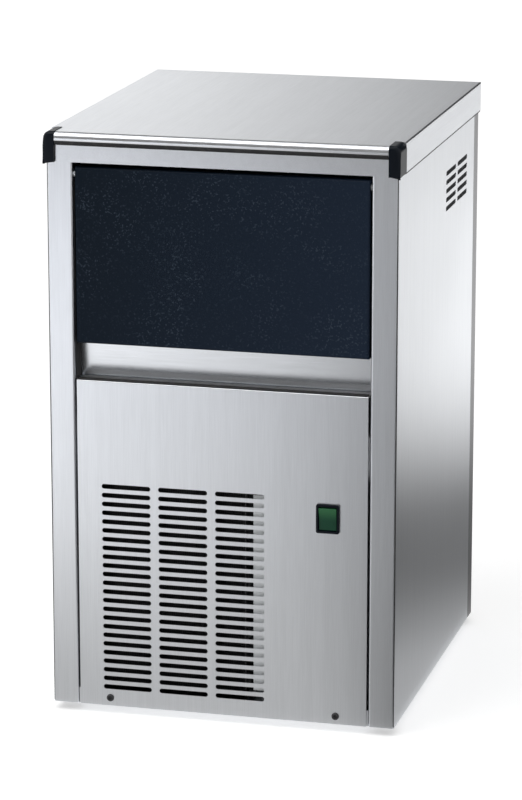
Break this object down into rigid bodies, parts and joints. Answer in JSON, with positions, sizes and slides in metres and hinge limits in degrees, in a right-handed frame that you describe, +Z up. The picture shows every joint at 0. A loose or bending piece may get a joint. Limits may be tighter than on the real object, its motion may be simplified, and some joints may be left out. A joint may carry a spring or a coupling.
{
  "type": "ice cube maker",
  "caption": "Free-standing under-counter ice cube maker: steel casing, insulated ice bin behind an upward-opening door, spray-type ice unit and slotted refrigeration compartment.",
  "frame": {"origin": "middle of the footprint, on the surface the feet stand on", "axes": "+Z up, front faces -Y, +X to the right as seen from the front"},
  "size_m": [0.355, 0.404, 0.59],
  "materials": {
    "steel": "satin, fine brushed grain",
    "channel_steel": "satin, darker tone",
    "galvanised": "galvanised, dull spangle",
    "navy_plastic": "fine leather-grain moulding, navy black",
    "black_plastic": "satin black moulding",
    "black_steel": "black paint or black oxide",
    "green_lens": "translucent green rocker",
    "white_plastic": "food-grade white moulding",
    "grey_plastic": "grey moulding",
    "foam": "black moulded foam",
    "rubber": "matt black rubber",
    "copper": "drawn copper tube",
    "tinned_copper": "tinned copper",
    "aluminium": "pressed sheet",
    "brass": "machined brass",
    "clear_plastic": "clear flexible plastic"
  },
  "bodies": {
    "casing": {"base_pan": "steel", "bin_deck": "galvanised", "bin_front_trim": "steel", "bin_insulation": "foam", "bin_liner": "white_plastic", "capillary_tube": "copper", "compressor": "black_steel", "compressor_mount_front_left": "rubber", "compressor_mount_front_right": "rubber", "compressor_mount_rear_left": "rubber", "compressor_mount_rear_right": "rubber", "condenser": "black_steel", "cord_gland": "black_plastic", "corner_cap_left": "black_plastic", "corner_cap_right": "black_plastic", "curtain_rod": "steel", "discharge_pipe": "copper", "door_pin_left": "steel", "door_pin_right": "steel", "drain_hose": "grey_plastic", "electrical_box": "galvanised", "evaporator_coil": "copper", "evaporator_plate": "tinned_copper", "fan_motor": "black_steel", "fan_shroud": "galvanised", "filter_drier": "copper", "foot_front_left": "rubber", "foot_front_right": "rubber", "foot_rear_left": "rubber", "foot_rear_right": "rubber", "hot_gas_pipe": "copper", "hot_gas_valve": "brass", "ice_chute": "white_plastic", "lower_front_panel": "steel", "panel_screw_left": "black_steel", "panel_screw_right": "black_steel", "pump_housing": "grey_plastic", "pump_motor": "black_plastic", "rear_channel_left": "channel_steel", "rear_channel_right": "channel_steel", "rear_panel": "steel", "side_panel_left": "steel", "side_panel_right": "steel", "spray_bar": "grey_plastic", "spray_housing": "white_plastic", "suction_pipe": "copper", "switch_housing": "black_plastic", "terminal_cover": "black_plastic", "top_cover": "steel", "water_inlet_valve": "white_plastic", "water_sump": "grey_plastic", "water_supply_hose": "clear_plastic"},
    "door": {"door_panel": "navy_plastic"},
    "rocker": {"switch_rocker": "green_lens"},
    "fan": {"fan_blade": "aluminium"},
    "impeller": {"pump_impeller": "steel"},
    "flap_1": {"curtain_flap_1": "clear_plastic"},
    "flap_2": {"curtain_flap_2": "clear_plastic"},
    "flap_3": {"curtain_flap_3": "clear_plastic"},
    "standpipe": {"overflow_standpipe": "grey_plastic"}
  },
  "joints": [
    {"name": "door_hinge", "type": "hinge", "parent": "casing", "child": "door", "pos_m": [0, -0.189, 0.5475], "axis": [-1, 0, 0], "range_deg": [0, 95]},
    {"name": "rocker_hinge", "type": "hinge", "parent": "casing", "child": "rocker", "pos_m": [0.1075, -0.194, 0.2186], "axis": [-1, 0, 0], "range_deg": [0, 14]},
    {"name": "fan_spin", "type": "hinge", "parent": "casing", "child": "fan", "pos_m": [-0.057, -0.1158, 0.127], "axis": [0, 1, 0], "continuous": true},
    {"name": "impeller_spin", "type": "hinge", "parent": "casing", "child": "impeller", "pos_m": [-0.0928, 0.0797, 0.4363], "axis": [0, 0, 1], "continuous": true},
    {"name": "flap_1_hinge", "type": "hinge", "parent": "casing", "child": "flap_1", "pos_m": [-0.01997, 0.0247, 0.5401], "axis": [-1, 0, 0], "range_deg": [0, 75]},
    {"name": "flap_2_hinge", "type": "hinge", "parent": "casing", "child": "flap_2", "pos_m": [0.0437, 0.0247, 0.5401], "axis": [-1, 0, 0], "range_deg": [0, 75]},
    {"name": "flap_3_hinge", "type": "hinge", "parent": "casing", "child": "flap_3", "pos_m": [0.10737, 0.0247, 0.5401], "axis": [-1, 0, 0], "range_deg": [0, 75]},
    {"name": "standpipe_lift", "type": "slide", "parent": "casing", "child": "standpipe", "axis": [0, 0, 1], "range_m": [0, 0.05]}
  ]
}
